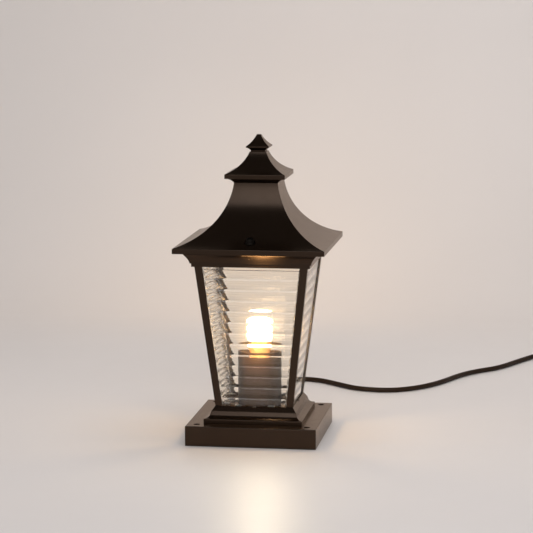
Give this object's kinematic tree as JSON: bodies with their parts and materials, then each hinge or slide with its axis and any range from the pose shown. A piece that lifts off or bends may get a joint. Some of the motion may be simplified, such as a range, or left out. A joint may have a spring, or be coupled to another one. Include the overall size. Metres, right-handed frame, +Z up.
{
  "type": "gate pillar light",
  "caption": "Square gate pillar light with a swept three-tier roof that lifts off, fluted glass panes between leaning posts, a stepped plinth, a screw bulb and a supply cord.",
  "frame": {"origin": "middle of the base flange's underside, on the surface that the light stands on", "axes": "+Z up; the front pane faces -Y and the cord leaves towards +Y, at the back"},
  "size_m": [0.5677, 0.7637, 0.4071],
  "materials": {
    "bronze_coat": "satin",
    "thumb_metal": "satin",
    "clear_glass": "gloss",
    "bulb_glass": "satin",
    "bulb_metal": "satin",
    "contact_brass": "satin",
    "screw_steel": "satin",
    "porcelain": "gloss",
    "terminal_plastic": "satin",
    "wire_plastic": "satin",
    "cord_rubber": "matte",
    "plug_plastic": "matte"
  },
  "bodies": {
    "lantern": {"base_flange": "bronze_coat", "plinth": "bronze_coat", "lower_frame": "bronze_coat", "cornice": "bronze_coat", "lamp_sleeve": "bronze_coat", "corner_post_front_right": "bronze_coat", "corner_post_back_right": "bronze_coat", "corner_post_back_left": "bronze_coat", "corner_post_front_left": "bronze_coat", "glass_front": "clear_glass", "glass_right": "clear_glass", "glass_back": "clear_glass", "glass_left": "clear_glass", "socket_contact": "contact_brass", "socket_shell": "contact_brass", "terminal_screws": "contact_brass", "plinth_screws": "screw_steel", "frame_screws": "screw_steel", "holder_screws": "screw_steel", "glass_clips": "screw_steel", "glass_clip_screws": "screw_steel", "terminal_fixing_screw": "screw_steel", "earth_screw": "screw_steel", "plug_pins": "screw_steel", "lamp_holder": "porcelain", "terminal_block": "terminal_plastic", "lamp_leads": "wire_plastic", "supply_cores": "wire_plastic", "earth_lead": "wire_plastic", "inner_lead": "cord_rubber", "supply_cord": "cord_rubber", "cord_coil": "cord_rubber", "plug_lead": "cord_rubber", "cable_gland": "cord_rubber", "plug_body": "plug_plastic", "coil_tie": "plug_plastic"},
    "roof_set": {"roof": "bronze_coat", "upper_roof": "bronze_coat", "finial": "bronze_coat", "roof_washer": "screw_steel", "roof_nut": "screw_steel", "roof_tie_rod": "screw_steel"},
    "thumb_front": {"thumb_screw_front": "thumb_metal"},
    "thumb_back": {"thumb_screw_back": "thumb_metal"},
    "bulb": {"bulb_glass": "bulb_glass", "bulb_cap": "bulb_metal", "bulb_contact": "contact_brass"}
  },
  "joints": [
    {"name": "roof_lift", "type": "slide", "parent": "lantern", "child": "roof_set", "axis": [0, 0, 1], "range_m": [0, 0.12]},
    {"name": "thumb_front_turn", "type": "hinge", "parent": "roof_set", "child": "thumb_front", "pos_m": [0, -0.08115, 0.27], "axis": [0, 0, 1], "continuous": true},
    {"name": "thumb_back_turn", "type": "hinge", "parent": "roof_set", "child": "thumb_back", "pos_m": [0, 0.08115, 0.27], "axis": [0, 0, 1], "continuous": true},
    {"name": "bulb_turn", "type": "hinge", "parent": "lantern", "child": "bulb", "pos_m": [0, 0, 0.08], "axis": [0, 0, 1], "continuous": true}
  ]
}
